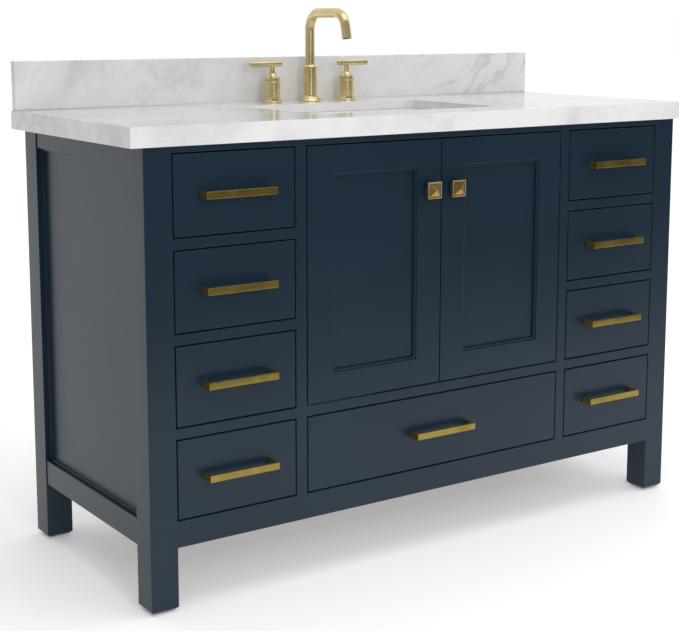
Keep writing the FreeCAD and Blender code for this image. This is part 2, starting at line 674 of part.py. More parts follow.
# ---- Nodes ----
nodes = {
    "front_legs": group([leg(side, FRONT) for side in (-1, 1)]),
    "rear_legs": group([leg(side, BACK - LEG) for side in (-1, 1)]),
    "leg_glides": glides(),
    "front_rails": front_rails(),
    "frame_dividers": frame_dividers(),
    "side_rails": side_rails(),
    "left_side_panel": side_panel(-1),
    "right_side_panel": side_panel(1),
    "rear_rails": rear_rails(),
    "back_boards": back_boards(),
    "bottom_panel": bottom_panel(),
    "partitions": partitions(),
    "compartment_floor": compartment_floor(),
    "top_battens": top_battens(),
    "slide_tracks": slide_tracks(),
    "hinge_plates": hinge_plates(),
    "countertop": countertop(),
    "backsplash": backsplash(),
    "sink_basin": sink_basin(),
    "drain_body": drain_body(),
    "drain_stopper": drain_stopper(),
    "faucet_bases": faucet_bases(),
    "spout": spout(),
}

SIDES = {"left": -1, "right": 1}
drawer_places = {"bottom_drawer": (-MULLION_INNER, MULLION_INNER, OPENING_Z)}
for name, side in SIDES.items():
    nodes[name + "_door_frame"] = door_frame(side)
    nodes[name + "_door_panel"] = door_panel(side)
    nodes[name + "_door_knob"] = knob(side)
    nodes[name + "_door_hinges"] = door_hinges(side)
    nodes[name + "_lever"] = lever(side)
    x0, x1 = sorted((side * MULLION_OUTER, side * LEG_INNER))
    for row in range(DRAWERS_PER_COLUMN):
        z0 = OPENINGS_TOP - OPENING - row * PITCH
        drawer_places[f"{name}_drawer_{row + 1}"] = (x0, x1, z0)

for name, place in drawer_places.items():
    nodes[name + "_front"] = drawer_front(*place)
    nodes[name + "_box"] = drawer_box(*place)
    nodes[name + "_pull"] = pull(*place)

os.makedirs("parts", exist_ok=True)
for name, shape in nodes.items():
    shape.exportStep("parts/" + name + ".step")
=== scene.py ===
# Looks of the bathroom vanity cabinet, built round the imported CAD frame.
#
# Metres, +Z up, fronts facing -Y, origin on the floor under the middle of the closed cabinet. Every piece
# takes its place from the frame's boxes or solids, so nothing here moves a part.

import math

import bmesh
import bpy
import numpy
from mathutils import Matrix, Vector


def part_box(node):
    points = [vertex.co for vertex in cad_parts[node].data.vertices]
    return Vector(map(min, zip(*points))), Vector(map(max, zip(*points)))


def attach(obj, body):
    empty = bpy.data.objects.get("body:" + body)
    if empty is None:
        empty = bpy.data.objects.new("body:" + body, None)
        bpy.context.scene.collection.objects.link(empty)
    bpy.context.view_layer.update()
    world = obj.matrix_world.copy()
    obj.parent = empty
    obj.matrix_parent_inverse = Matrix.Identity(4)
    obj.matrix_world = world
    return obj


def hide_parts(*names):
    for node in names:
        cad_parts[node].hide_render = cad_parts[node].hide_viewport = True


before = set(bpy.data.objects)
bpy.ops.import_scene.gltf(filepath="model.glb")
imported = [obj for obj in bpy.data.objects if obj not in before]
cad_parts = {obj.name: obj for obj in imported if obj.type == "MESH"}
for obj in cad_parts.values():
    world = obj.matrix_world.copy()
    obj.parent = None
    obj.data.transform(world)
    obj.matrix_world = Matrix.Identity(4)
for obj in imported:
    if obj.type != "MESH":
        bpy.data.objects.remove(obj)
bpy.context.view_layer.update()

MM = 0.001
SIDES = {"left": -1, "right": 1}
DRAWERS = ["bottom_drawer"] + [f"{side}_drawer_{row}" for side in SIDES for row in range(1, 5)]
FLOOR_GLOW = 0.20              # the floor is lit a little from below, as a sweep of white acrylic is
DOME = 0.92                    # brightness of the studio round the object

# Sizes in mm that the frame's boxes don't give.
TRACK_LIFT = 20.0              # drawer slide, above the drawer box's underside
KNOB_STEM = 13.0
KNOB_STEM_RADIUS = 6.5
KNOB_PLATE = 5.0
BASIN_DEPTH = 140.0
BASIN_WALL = 8.0
BASIN_FLANGE = 20.0
BASIN_FLANGE_DEPTH = 12.0
BASIN_TAPER = 22.0
BASIN_FILLET = 24.0
BASIN_MOUTH_RADIUS = 24.0
DRAIN_RADIUS = 20.0
DRAIN_FLANGE = 24.0
DRAIN_BORE = 15.0
DRAIN_NUT = 28.0
TAILPIECE = 15.875
TAILPIECE_BORE = 14.6
SLAB = 19.05
SHANK = 10.45
HANDLE_R = 17.5
SPOUT_R = 11.0
LEVER_R = 6.0
HANDLE_SPACING = 101.6
LEVER_HEIGHT = 87.0
SPOUT_HEIGHT = 212.0
SPOUT_REACH = 150.0
SPOUT_OUTLET = 145.0
SPOUT_BASE = 84.4
SPOUT_BEND = 38.0
SPOUT_LEAN = math.radians(12)  # outlet leg, from the vertical


# ---- Shader nodes ----
class Shader:
    """A principled material, with helpers that wire procedural detail into it."""

    def __init__(self, name, color, roughness, metallic=0.0, **sockets):
        self.material = bpy.data.materials.new(name)
        self.material.use_nodes = True
        self.tree = self.material.node_tree
        self.surface = self.tree.nodes["Principled BSDF"]
        self.set(color=color, roughness=roughness, metallic=metallic, **sockets)
        self.place = self.node("ShaderNodeTexCoord").outputs["Object"]

    def set(self, **sockets):
        names = {"color": "Base Color", "coat": "Coat Weight", "coat_roughness": "Coat Roughness",
                 "specular": "Specular IOR Level", "anisotropic": "Anisotropic", "sheen": "Sheen Weight",
                 "subsurface": "Subsurface Weight"}
        for key, value in sockets.items():
            socket = self.surface.inputs[names.get(key, key.capitalize())]
            socket.default_value = (*value, 1.0) if key == "color" else value

    def node(self, kind, **settings):
        node = self.tree.nodes.new(kind)
        for key, value in settings.items():
            setattr(node, key, value)
        return node

    def link(self, value, socket):
        if hasattr(value, "is_output"):
            self.tree.links.new(value, socket)
        else:
            socket.default_value = value

    def stretched(self, scale, turn=(0.0, 0.0, 0.0)):
        """Object coordinates, turned and scaled."""
        node = self.node("ShaderNodeMapping")
        node.inputs["Scale"].default_value = scale
        node.inputs["Rotation"].default_value = turn
        self.link(self.place, node.inputs["Vector"])
        return node.outputs["Vector"]

    def noise(self, scale, detail=2.0, roughness=0.5, distortion=0.0, place=None):
        node = self.node("ShaderNodeTexNoise")
        self.link(place or self.place, node.inputs["Vector"])
        for key, value in (("Scale", scale), ("Detail", detail), ("Roughness", roughness),
                           ("Distortion", distortion)):
            node.inputs[key].default_value = value
        return node.outputs["Fac"]

    def math(self, operation, first, second=0.0, clamp=False):
        node = self.node("ShaderNodeMath", operation=operation, use_clamp=clamp)
        self.link(first, node.inputs[0])
        self.link(second, node.inputs[1])
        return node.outputs["Value"]

    def span(self, value, low, high, to_low=0.0, to_high=1.0):
        """Value carried from one range to another, smoothly and clamped."""
        node = self.node("ShaderNodeMapRange", interpolation_type="SMOOTHSTEP")
        self.link(value, node.inputs["Value"])
        for key, number in (("From Min", low), ("From Max", high), ("To Min", to_low), ("To Max", to_high)):
            node.inputs[key].default_value = number
        return node.outputs["Result"]

    def mix(self, factor, first, second):
        """Colour between two colours."""
        node = self.node("ShaderNodeMix", data_type="RGBA")
        self.link(factor, node.inputs[0])
        for socket, color in ((node.inputs[6], first), (node.inputs[7], second)):
            self.link((*color, 1.0) if isinstance(color, tuple) else color, socket)
        return node.outputs[2]

    def bump(self, height, distance, strength=1.0):
        node = self.node("ShaderNodeBump")
        node.inputs["Strength"].default_value = strength
        node.inputs["Distance"].default_value = distance
        self.link(height, node.inputs["Height"])
        self.link(node.outputs["Normal"], self.surface.inputs["Normal"])

    def vary(self, socket, value):
        self.link(value, self.surface.inputs[socket])


def painted_wood():
    """Satin navy lacquer: faint brush and spray texture, and slow changes of tone."""
    navy = Shader("navy_paint", (0.0088, 0.0225, 0.0395), 0.31, specular=0.33)
    tone = navy.noise(3.0, 3.0)
    deep, light = (0.0066, 0.0184, 0.0328), (0.0080, 0.0212, 0.0376)
    navy.vary("Base Color", navy.mix(navy.span(tone, 0.3, 0.7), deep, light))
    navy.vary("Roughness", navy.span(navy.noise(40.0, 4.0), 0.25, 0.75, 0.30, 0.32))
    peel = navy.noise(420.0, 2.0)
    grain = navy.noise(1.0, 3.0, place=navy.stretched((90.0, 90.0, 9.0)))
    navy.bump(navy.math("ADD", peel, navy.math("MULTIPLY", grain, 0.6)), 0.00003, 0.4)
    return navy.material


def marble(name, vein, cloud, turn):
    """Polished Carrara: soft grey clouds, branching veins and small crystals."""
    stone = Shader(name, (0.69, 0.685, 0.675), 0.13, specular=0.35)
    place = stone.stretched((1.0, 1.0, 1.0), turn)
    warp = stone.node("ShaderNodeTexNoise")
    warp.inputs["Scale"].default_value = 3.1
    warp.inputs["Detail"].default_value = 4.0
    stone.link(place, warp.inputs["Vector"])
    shift = stone.node("ShaderNodeVectorMath", operation="SCALE")
    shift.inputs["Scale"].default_value = 0.35
    stone.link(warp.outputs["Color"], shift.inputs[0])
    moved = stone.node("ShaderNodeVectorMath", operation="ADD")
    stone.link(place, moved.inputs[0])
    stone.link(shift.outputs["Vector"], moved.inputs[1])
    drawn = stone.node("ShaderNodeMapping")
    drawn.inputs["Scale"].default_value = (2.6, 6.0, 6.0)
    stone.link(moved.outputs["Vector"], drawn.inputs["Vector"])
    flow = drawn.outputs["Vector"]

    def ridge(scale, detail, width):
        height = stone.noise(scale, detail, 0.6, place=flow)
        level = stone.math("ABSOLUTE", stone.math("SUBTRACT", height, 0.5))
        return stone.span(level, 0.0, width, 1.0, 0.0)

    clouds = stone.span(stone.noise(1.3, 7.0, 0.62, place=flow), 0.42, 0.72)
    patches = stone.span(stone.noise(1.6, 3.0, place=place), 0.40, 0.66)
    veins = stone.math("MULTIPLY", ridge(1.0, 6.0, 0.045), patches)
    thread_patches = stone.span(stone.noise(2.7, 2.0, place=place), 0.5, 0.7)
    threads = stone.math("MULTIPLY", ridge(2.3, 8.0, 0.022), thread_patches)
    grey = stone.math("ADD", stone.math("MULTIPLY", clouds, cloud), stone.math("MULTIPLY", veins, vein))
    grey = stone.math("ADD", grey, stone.math("MULTIPLY", threads, 0.7 * vein), clamp=True)
    crystal = stone.span(stone.noise(260.0, 3.0, 0.7), 0.30, 0.72, 0.0, 0.10)
    grey = stone.math("ADD", grey, crystal, clamp=True)
    stone.vary("Base Color", stone.mix(grey, (0.69, 0.685, 0.675), (0.34, 0.35, 0.37)))
    stone.vary("Roughness", stone.span(stone.noise(60.0, 3.0), 0.3, 0.7, 0.09, 0.16))
    stone.bump(stone.noise(300.0, 2.0), 0.00003, 0.25)
    return stone.material


def brushed(name, dark, light, roughness, lengthwise, anisotropic=0.3, metallic=0.85, relief=0.02):
    """Metal with fine brush lines along one axis and slow changes of tone."""
    metal = Shader(name, light, roughness, metallic, anisotropic=anisotropic)
    scale = [900.0, 900.0, 900.0]
    scale["XYZ".index(lengthwise)] = 12.0
    lines = metal.noise(1.0, 2.0, place=metal.stretched(tuple(scale)))
    tone = metal.span(metal.noise(22.0, 3.0), 0.3, 0.7)
    metal.vary("Base Color", metal.mix(tone, dark, light))
    metal.vary("Roughness", metal.span(lines, 0.3, 0.7, roughness - 0.03, roughness + 0.04))
    metal.bump(lines, relief * MM, 0.35)
    return metal.material


def wood(name, light, dark, along, roughness=0.45):
    """Clear-coated light timber with its grain along one axis."""
    timber = Shader(name, light, roughness, coat=0.15, coat_roughness=0.3)
    long_scale = [26.0, 26.0, 26.0]
    long_scale["XYZ".index(along)] = 1.6
    rings = timber.noise(1.0, 5.0, 0.6, 1.2, place=timber.stretched(tuple(long_scale)))
    fine_scale = [420.0, 420.0, 420.0]
    fine_scale["XYZ".index(along)] = 9.0
    pores = timber.noise(1.0, 3.0, 0.6, place=timber.stretched(tuple(fine_scale)))
    fine_grain = timber.span(pores, 0.5, 0.75, 0.0, 0.35)
    grain = timber.math("ADD", timber.span(rings, 0.35, 0.68), fine_grain, clamp=True)
    timber.vary("Base Color", timber.mix(grain, light, dark))
    timber.bump(pores, 0.00008, 0.4)
    return timber.material


def glazed_ceramic():
    china = Shader("vitreous_china", (0.86, 0.86, 0.85), 0.10, coat=0.6, coat_roughness=0.04, specular=0.5)
    china.vary("Roughness", china.span(china.noise(30.0, 2.0), 0.3, 0.7, 0.08, 0.14))
    china.bump(china.noise(45.0, 2.0), 0.0003, 0.12)
    return china.material


def zinc():
    steel = Shader("zinc_plate", (0.56, 0.57, 0.58), 0.32, 1.0)
    tone = steel.noise(160.0, 4.0, 0.7)
    steel.vary("Base Color", steel.mix(steel.span(tone, 0.3, 0.7), (0.47, 0.48, 0.50), (0.62, 0.63, 0.64)))
    steel.vary("Roughness", steel.span(tone, 0.3, 0.7, 0.27, 0.42))
    steel.bump(tone, 0.00003, 0.3)
    return steel.material


def moulded(name, color, roughness, grain):
    plastic = Shader(name, color, roughness)
    texture = plastic.noise(grain, 3.0)
    darker = tuple(0.85 * channel for channel in color)
    plastic.vary("Base Color", plastic.mix(plastic.span(texture, 0.3, 0.7), darker, color))
    plastic.bump(texture, 0.00005, 0.4)
    return plastic.material


NAVY = painted_wood()
TOP_STONE = marble("carrara_top", 0.32, 0.34, (0.2, 0.1, 0.5))
SPLASH_STONE = marble("carrara_splash", 0.34, 0.36, (0.3, 0.75, 0.1))
PULL_METAL = brushed("pull_brass_finish", (0.26, 0.19, 0.040), (0.35, 0.26, 0.072), 0.30, "X")
KNOB_METAL = brushed("knob_bronze_finish", (0.33, 0.215, 0.060), (0.48, 0.33, 0.11), 0.27, "Z", 0.2)
FAUCET_METAL = brushed("champagne_brass", (0.60, 0.49, 0.24), (0.72, 0.60, 0.32), 0.20, "Z", 0.4, 0.70, 0.008)
CERAMIC = glazed_ceramic()
STEEL = zinc()
NYLON = moulded("nylon_grey", (0.10, 0.10, 0.105), 0.5, 500.0)
SILICONE = moulded("silicone_bead", (0.62, 0.62, 0.60), 0.35, 220.0)
MAPLE = wood("maple_y", (0.66, 0.47, 0.29), (0.50, 0.33, 0.18), "Y")
END_GRAIN = wood("maple_end_grain", (0.50, 0.34, 0.20), (0.38, 0.25, 0.13), "X")
SEALED_PLY = wood("sealed_ply", (0.27, 0.25, 0.225), (0.20, 0.185, 0.165), "X")
BIRCH = {axis: wood("birch_" + axis.lower(), (0.62, 0.48, 0.32), (0.50, 0.37, 0.23), axis) for axis in "XYZ"}


# ---- Mesh helpers ----
def piece(name, mesh, body, materials, replaces=()):
    """A finished mesh as a piece of the model."""
    obj = bpy.data.objects.new(name, mesh)
    bpy.context.scene.collection.objects.link(obj)
    for material in materials:
        mesh.materials.append(material)
    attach(obj, body)
    if replaces:
        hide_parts(*replaces)
    return obj


def finished(bm, name, smooth=True):
    """Mesh of a bmesh, with outward normals."""
    bmesh.ops.recalc_face_normals(bm, faces=bm.faces)
    for face in bm.faces:
        face.smooth = smooth
    mesh = bpy.data.meshes.new(name)
    bm.to_mesh(mesh)
    bm.free()
    return mesh


def triangles_of(nodes):
    """Corner coordinates of every triangle of some nodes."""
    corners = []
    for node in nodes:
        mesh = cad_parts[node].data
        mesh.calc_loop_triangles()
        for triangle in mesh.loop_triangles:
            corners.append([mesh.vertices[index].co for index in triangle.vertices])
    return numpy.array(corners)


def inside(point, triangles):
    """Whether a slanting ray from the point leaves more solids than it enters."""
    ray = numpy.array((0.3113, 0.2731, 0.9102))
    first = triangles[:, 1] - triangles[:, 0]
    second = triangles[:, 2] - triangles[:, 0]
    across = numpy.cross(ray, second)
    scale = numpy.einsum("ij,ij->i", first, across)
    scale[abs(scale) < 1e-15] = 1e-15
    start = numpy.array(point) - triangles[:, 0]
    u = numpy.einsum("ij,ij->i", start, across) / scale
    turned = numpy.cross(start, first)
    v = turned @ ray / scale
    ahead = numpy.einsum("ij,ij->i", second, turned) / scale
    crossed = (u >= 0) & (v >= 0) & (u + v <= 1) & (ahead > 0)
    return numpy.sign(scale[crossed]).sum() < 0


def square_cuts(nodes):
    """Sorted coordinates of the square corners of some nodes, along each axis."""
    whole = bmesh.new()
    for node in nodes:
        whole.from_mesh(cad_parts[node].data)
    bmesh.ops.remove_doubles(whole, verts=whole.verts, dist=1e-6)
    cuts = [set(), set(), set()]
    for vert in whole.verts:
        facing = {max(range(3), key=lambda k: abs(face.normal[k])) for face in vert.link_faces
                  if max(abs(part) for part in face.normal) > 0.9999}
        if len(facing) == 3:
            for k in range(3):
                cuts[k].add(round(vert.co[k], 6))
    whole.free()
    for node in nodes:
        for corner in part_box(node):
            for k in range(3):
                cuts[k].add(round(corner[k], 6))
    return [sorted(values) for values in cuts]


def cells_of(nodes):
    """Grid through the square corners of some nodes, and the cells of it that they fill."""
    cuts = square_cuts(nodes)
    triangles = triangles_of(nodes)
    middles = [[(a + b) / 2 for a, b in zip(values, values[1:])] for values in cuts]
    filled = set()
    for i, x in enumerate(middles[0]):
        for j, y in enumerate(middles[1]):
            for k, z in enumerate(middles[2]):
                if inside((x, y, z), triangles):
                    filled.add((i, j, k))
    return cuts, filled


def cells_of_boxes(boxes):
    """Grid through the corners of some (low, high) boxes, and the cells of it that they fill."""
    cuts = [sorted({round(corner[k], 6) for box in boxes for corner in box}) for k in range(3)]
    filled = set()
    for low, high in boxes:
        spans = [range(cuts[k].index(round(low[k], 6)), cuts[k].index(round(high[k], 6))) for k in range(3)]
        filled.update((i, j, k) for i in spans[0] for j in spans[1] for k in spans[2])
    return cuts, filled


def skin(cuts, filled):
    """One closed surface round the filled cells of a grid."""
    bm = bmesh.new()
    corners = {}

    def corner(index):
        if index not in corners:
            corners[index] = bm.verts.new([cuts[k][index[k]] for k in range(3)])
        return corners[index]

    for cell in sorted(filled):
        for axis in range(3):
            for step in (0, 1):
                beside = list(cell)
                beside[axis] += 1 if step else -1
                if tuple(beside) in filled:
                    continue
                u, v = [k for k in range(3) if k != axis]
                square = []
                for du, dv in ((0, 0), (1, 0), (1, 1), (0, 1)):
                    index = list(cell)
                    index[axis] += step
                    index[u] += du
                    index[v] += dv
                    square.append(corner(tuple(index)))
                bm.faces.new(square)
    bmesh.ops.recalc_face_normals(bm, faces=bm.faces)
    bmesh.ops.dissolve_limit(bm, angle_limit=math.radians(1), verts=bm.verts, edges=bm.edges)
    return bm


def soften(obj, width, segments=2, angle=30):
    """Small rounded edges, with shading that stays flat on the flat faces."""
    bevel = obj.modifiers.new("eased_edges", "BEVEL")
    bevel.width = width
    bevel.segments = segments
    bevel.limit_method = "ANGLE"
    bevel.angle_limit = math.radians(angle)
    bevel.use_clamp_overlap = True
    normals = obj.modifiers.new("flat_faces", "WEIGHTED_NORMAL")
    normals.keep_sharp = True
    return obj


def eased_blocks(name, nodes, body, material, width=1.2 * MM, chamfer=None):
    """The blocks of some nodes as one piece with eased edges."""
    bm = skin(*cells_of(nodes))
    if chamfer:
        height, size = chamfer
        foot = [edge for edge in bm.edges if all(abs(vert.co.z - height) < 1e-5 for vert in edge.verts)]
        bmesh.ops.bevel(bm, geom=foot, offset=size, segments=1, affect="EDGES")
    obj = piece(name, finished(bm, name), body, [material], nodes)
    return soften(obj, width)


def smooth_group():
    """Geometry nodes that shade a mesh smooth."""
    group = bpy.data.node_groups.new("shade_smooth", "GeometryNodeTree")
    group.interface.new_socket("Geometry", in_out="INPUT", socket_type="NodeSocketGeometry")
    group.interface.new_socket("Geometry", in_out="OUTPUT", socket_type="NodeSocketGeometry")
    start = group.nodes.new("NodeGroupInput")
    shade = group.nodes.new("GeometryNodeSetShadeSmooth")
    end = group.nodes.new("NodeGroupOutput")
    group.links.new(start.outputs[0], shade.inputs[0])
    group.links.new(shade.outputs[0], end.inputs[0])
    return group


SMOOTH_GROUP = smooth_group()


def dress(node, material, width=0.0, segments=2):
    """A CAD node with its own material and, where width is given, eased edges."""
    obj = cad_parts[node]
    for slot in obj.material_slots:
        slot.material = material
    if width:
        weld = obj.modifiers.new("join_corners", "WELD")
        weld.merge_threshold = 1e-6
        flat = obj.modifiers.new("plain_faces", "DECIMATE")
        flat.decimate_type = "DISSOLVE"
        flat.angle_limit = math.radians(1)
        smooth = obj.modifiers.new("shade_smooth", "NODES")
        smooth.node_group = SMOOTH_GROUP
        soften(obj, width, segments)
    return obj


def join_rings(bm, rings, closed=False):
    """Faces between rings of corners, each of which is a whole ring or one point."""
    pairs = list(zip(rings, rings[1:])) + ([(rings[-1], rings[0])] if closed else [])
    for lower, upper in pairs:
        for k in range(max(len(lower), len(upper))):
            a, b = lower[k % len(lower)], lower[(k + 1) % len(lower)]
            c, d = upper[(k + 1) % len(upper)], upper[k % len(upper)]
            corners = list(dict.fromkeys((a, b, c, d)))
            if len(corners) > 2:
                bm.faces.new(corners)


def circle(bm, middle, across, beside, radius, segments):
    """Ring of corners in the plane of two directions."""
    angles = [2 * math.pi * k / segments for k in range(segments)]
    return [bm.verts.new(middle + (across * math.cos(a) + beside * math.sin(a)) * radius) for a in angles]


def turned(bm, outline, centre, along="Z", closed=False, segments=64):
    """Turned solid: (radius, distance) points in mm, round an axis through the centre."""
    axis = Vector([along[-1] == letter for letter in "XYZ"]) * (-1 if along[0] == "-" else 1)
    across = Vector((0, 1, 0)) if along[-1] == "X" else Vector((1, 0, 0))
    beside = axis.cross(across)
    rings = []
    for radius, distance in outline:
        middle = Vector(centre) + axis * distance * MM
        if radius == 0:
            rings.append([bm.verts.new(middle)])
        else:
            rings.append(circle(bm, middle, across, beside, radius * MM, segments))
    join_rings(bm, rings, closed)


def rounded_ring(bm, half_x, half_y, radius, middle_y, z, steps=10):
    """Rounded rectangle of corners, in metres."""
    ring = []
    for quarter, (sx, sy) in enumerate(((1, 1), (-1, 1), (-1, -1), (1, -1))):
        for step in range(steps + 1):
            angle = (quarter + step / steps) * math.pi / 2
            x = sx * (half_x - radius) + radius * math.cos(angle)
            y = sy * (half_y - radius) + radius * math.sin(angle)
            ring.append(bm.verts.new((x, middle_y + y, z)))
    return ring


# ---- Carcass ----
def carcass():
    foot_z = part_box("front_legs")[0].z
    eased_blocks("face_frame", ["front_legs", "front_rails", "frame_dividers"], "cabinet", NAVY,
                 chamfer=(foot_z, 6 * MM))
    eased_blocks("back_posts", ["rear_legs"], "cabinet", NAVY, chamfer=(foot_z, 6 * MM))
    eased_blocks("side_frame_rails", ["side_rails"], "cabinet", NAVY)
    for side in SIDES:
        eased_blocks(side + "_end_panel", [side + "_side_panel"], "cabinet", NAVY, 0.9 * MM)
    dress("rear_rails", NAVY, 1.2 * MM)
    dress("back_boards", BIRCH["Z"], 0.5 * MM)
    dress("bottom_panel", SEALED_PLY, 0.5 * MM)
    dress("partitions", BIRCH["Y"], 0.5 * MM)
    dress("compartment_floor", BIRCH["X"], 0.5 * MM)
    dress("top_battens", BIRCH["X"], 0.5 * MM)
    dress("leg_glides", NYLON, 0.6 * MM)
    dress("slide_tracks", STEEL, 0.4 * MM)
    dress("hinge_plates", STEEL, 0.8 * MM)


# ---- Drawers and doors ----
def dovetails(name, low, high):
    """Tails cut at both ends of the drawer's sides: end grain, a hair proud of the boards."""
    board, pitch, first = 12 * MM, 22 * MM, 22 * MM
    proud, sunk = 0.12 * MM, -0.5 * MM
    outline = [(0, -6 * MM), (board, -3.5 * MM), (board, 3.5 * MM), (0, 6 * MM)]
    bm = bmesh.new()

    def plate(x, start, toward, middle):
        return [bm.verts.new((x, start + toward * u, middle + v)) for u, v in outline]

    for side, face in ((-1, low.x), (1, high.x)):
        for start, toward in ((low.y, 1), (high.y, -1)):
            for row in range(4):
                middle = low.z + first + row * pitch
                ends = [plate(face + side * out, start, toward, middle) for out in (sunk, proud)]
                bm.faces.new(ends[0])
                bm.faces.new(ends[1])
                join_rings(bm, ends)
    piece(name + "_dovetails", finished(bm, name + "_dovetails", False), name, [END_GRAIN])


def slide_members(name, low, high):
    """Rolled steel member of the slide on each side of the drawer box, inside its channel."""
    track_z = low.z + TRACK_LIFT * MM
    bottom, top = track_z + 5 * MM, track_z + 30 * MM
    gap, steel, reach = 0.3 * MM, 1.2 * MM, 8 * MM
    rivet = [(0, 0), (3.6, 0), (3.6, 0.5), (2.2, 1.3), (1.1, 1.3), (0.9, 0.7), (0, 0.7)]
    bm = bmesh.new()
    for side, face in ((-1, low.x), (1, high.x)):
        strips = []
        for out0, out1, z0, z1 in ((gap, gap + steel, bottom, top), (gap, reach, bottom, bottom + steel),
                                   (gap, reach, top - steel, top)):
            x0, x1 = sorted((face + side * out0, face + side * out1))
            strips.append(((x0, low.y + 2 * MM, z0), (x1, high.y - 2 * MM, z1)))
        part = skin(*cells_of_boxes(strips))
        mesh = bpy.data.meshes.new("member")
        part.to_mesh(mesh)
        part.free()
        bm.from_mesh(mesh)
        bpy.data.meshes.remove(mesh)
        for share in (0.08, 0.36, 0.64, 0.92):
            y = low.y + share * (high.y - low.y)
            centre = (face + side * (gap + steel), y, (bottom + top) / 2)
            turned(bm, rivet, centre, "X" if side > 0 else "-X", segments=24)
    mesh = finished(bm, name + "_slide_members", False)
    soften(piece(name + "_slide_members", mesh, name, [STEEL]), 0.3 * MM)


def drawers():
    for name in DRAWERS:
        eased_blocks(name + "_panel", [name + "_front"], name, NAVY)
        eased_blocks(name + "_bar", [name + "_pull"], name, PULL_METAL, 1.0 * MM)
        eased_blocks(name + "_boards", [name + "_box"], name, MAPLE, 0.6 * MM)
        low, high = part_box(name + "_box")
        dovetails(name, low, high)
        slide_members(name, low, high)


def knob(side):
    """Stem, square plate with a raised border, and a low pyramid inside it."""
    node = side + "_door_knob"
    low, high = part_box(node)
    x, z, half = (low.x + high.x) / 2, (low.z + high.z) / 2, (high.x - low.x) / 2
    border, rim = 2.6 * MM, 1.3 * MM
    inner = half - border
    plate_back = high.y - KNOB_STEM * MM
    plate_front = plate_back - KNOB_PLATE * MM
    rim_front = plate_front - rim
    bm = skin(*cells_of_boxes([
        ((x - half, plate_front, z - half), (x + half, plate_back, z + half)),
        ((x - half, rim_front, z - half), (x - inner, plate_front, z + half)),
        ((x + inner, rim_front, z - half), (x + half, plate_front, z + half)),
        ((x - inner, rim_front, z - half), (x + inner, plate_front, z - inner)),
        ((x - inner, rim_front, z + inner), (x + inner, plate_front, z + half)),
    ]))
    inset = inner - 0.8 * MM
    signs = ((-1, -1), (1, -1), (1, 1), (-1, 1))
    base = [bm.verts.new((x + u * inset, plate_front, z + v * inset)) for u, v in signs]
    tip = bm.verts.new((x, low.y, z))
    bm.faces.new(base)
    join_rings(bm, [base, [tip]])
    stem = [(0, 0), (8.5, 0), (8.5, 1.5), (KNOB_STEM_RADIUS, 3), (KNOB_STEM_RADIUS - 1.5, 7),
            (KNOB_STEM_RADIUS, KNOB_STEM), (0, KNOB_STEM)]
    turned(bm, stem, (x, high.y, z), "-Y", segments=40)
    for face in bm.faces:
        if all(abs(vert.co.y - rim_front) < 1e-6 for vert in face.verts):
            face.material_index = 1
    name = side + "_pyramid_knob"
    metals = [KNOB_METAL, FAUCET_METAL]
    soften(piece(name, finished(bm, name, False), side + "_door", metals, [node]), 0.45 * MM)


def doors():
    for side in SIDES:
        body = side + "_door"
        eased_blocks(side + "_shaker_frame", [body + "_frame"], body, NAVY, 0.9 * MM)
        dress(body + "_panel", NAVY)
        knob(side)
        dress(body + "_hinges", STEEL, 0.6 * MM)


# ---- Top, basin and drain ----
def basin():
    """One-piece bowl: rounded walls into a flat floor, a drain hole, and a flange under the slab."""
    low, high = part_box("sink_basin")
    y, rim, floor = (low.y + high.y) / 2, high.z, high.z - BASIN_DEPTH * MM
    half_x = (high.x - low.x) / 2 - BASIN_FLANGE * MM
    half_y = (high.y - low.y) / 2 - BASIN_FLANGE * MM
    wall, bend, mouth = BASIN_WALL * MM, BASIN_FILLET * MM, BASIN_MOUTH_RADIUS * MM
    straight = BASIN_DEPTH * MM - bend
    widening, narrowing = 14 * MM, 20 * MM       # corner radius, down the wall and round the fillet
    bm = bmesh.new()

    def ring(inset, radius, z):
        return rounded_ring(bm, half_x - inset, half_y - inset, radius, y, z)

    def side_rings(grow):
        """Inset, corner radius and height from the mouth down to the floor's edge."""
        shape = []
        for step in range(7):
            down, radius = step / 6 * straight, mouth + step / 6 * widening + grow
            shape.append((down * BASIN_TAPER / BASIN_DEPTH - grow, radius, rim - down))
        foot = shape[-1][0]
        for step in range(1, 9):
            angle = step / 8 * math.pi / 2
            radius = mouth + widening - step / 8 * narrowing + grow
            height = floor + bend - (bend + grow) * math.sin(angle)
            shape.append((foot + (bend + grow) * (1 - math.cos(angle)), radius, height))
        return shape

    rings = [ring(*shape) for shape in side_rings(0.0)]
    hole = DRAIN_RADIUS * MM
    for share, radius in ((0.4, 1.4 * hole), (0.08, hole)):
        rings.append(rounded_ring(bm, hole + share * half_x, hole + share * half_y, radius, y, floor))
    for z in (floor, floor - wall):
        rings.append(rounded_ring(bm, hole, hole, hole, y, z))
    rings += [ring(*shape) for shape in reversed(side_rings(wall)[2:])]
    flange, depth = BASIN_FLANGE * MM, BASIN_FLANGE_DEPTH * MM
    rings.append(ring(depth * BASIN_TAPER / BASIN_DEPTH - wall, mouth + 9 * MM, rim - depth))
    for z in (rim - depth, rim):
        rings.append(ring(-flange, mouth + flange, z))
    join_rings(bm, rings, True)
    bmesh.ops.remove_doubles(bm, verts=bm.verts, dist=1e-6)
    mesh = finished(bm, "ceramic_bowl")
    bowl = piece("ceramic_bowl", mesh, "cabinet", [CERAMIC], ["sink_basin"])
    soften(bowl, 1.2 * MM, 3)
    return y, floor


def brass_piece(name, bm, body, node, width, materials=(FAUCET_METAL,), angle=25):
    """A smooth piece of the faucet or the drain, in place of its CAD node."""
    soften(piece(name, finished(bm, name), body, materials, [node]), width, 2, angle)


